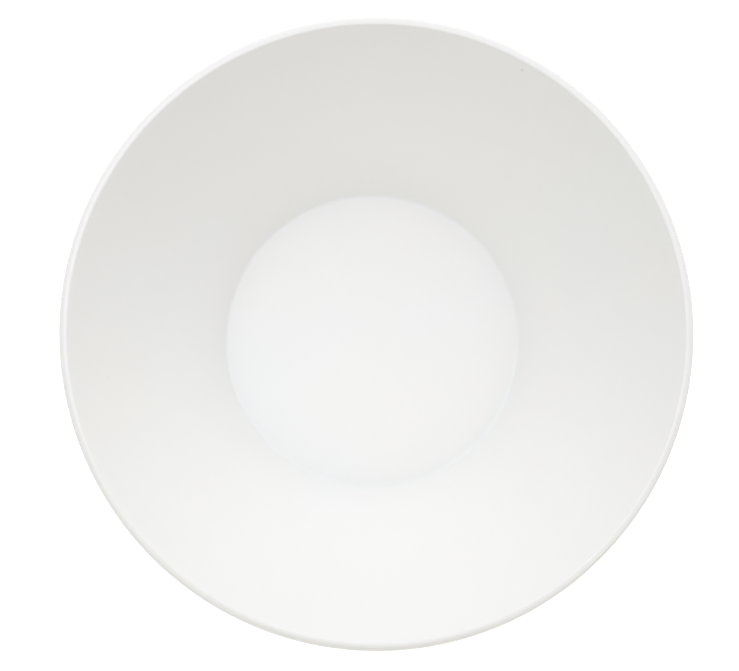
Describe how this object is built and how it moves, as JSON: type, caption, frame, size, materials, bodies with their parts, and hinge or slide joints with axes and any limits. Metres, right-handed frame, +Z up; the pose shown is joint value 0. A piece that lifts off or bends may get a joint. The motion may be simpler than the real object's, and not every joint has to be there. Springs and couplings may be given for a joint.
{
  "type": "salad bowl",
  "caption": "Round conical salad bowl with a straight flared wall, a flat well with a crisp crease, a rounded lip and a foot ring, in white glazed porcelain.",
  "frame": {"origin": "middle of the foot ring, on the table that it stands on", "axes": "+Z up the axis of the bowl, out of its mouth; X and Y lie on the table, with +Y to the top of the picture and +X to its right"},
  "size_m": [0.24, 0.24, 0.085],
  "materials": {
    "porcelain": "matte",
    "glaze": "gloss"
  },
  "bodies": {
    "root": {"porcelain_body": "porcelain", "glaze_coat": "glaze", "base_glaze": "glaze"}
  },
  "joints": []
}
